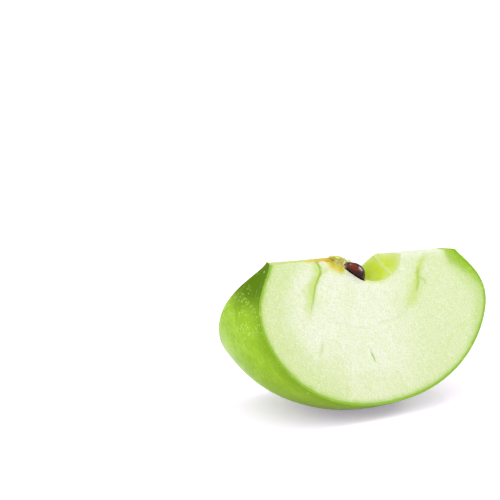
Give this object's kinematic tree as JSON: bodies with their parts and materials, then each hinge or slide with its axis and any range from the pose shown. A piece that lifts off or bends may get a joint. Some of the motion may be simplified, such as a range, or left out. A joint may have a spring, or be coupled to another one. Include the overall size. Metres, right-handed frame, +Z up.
{
  "type": "apple wedge",
  "caption": "Wedge cut from a green apple, lying on its skin, with a brown seed in its open seed chamber.",
  "frame": {"origin": "on the ground, under the middle of the wedge's bounding box", "axes": "+X along the apple's core towards the stem end, +Y from the front cut towards the back cut, +Z up as the wedge lies on its skin"},
  "size_m": [0.0718, 0.038, 0.0405],
  "materials": {
    "flesh_and_peel": "moist pale green flesh with a glossy yellow-green peel",
    "seed_coat": "glossy dark red-brown"
  },
  "bodies": {
    "root": {"apple_wedge": "flesh_and_peel", "seed": "seed_coat"}
  },
  "joints": []
}
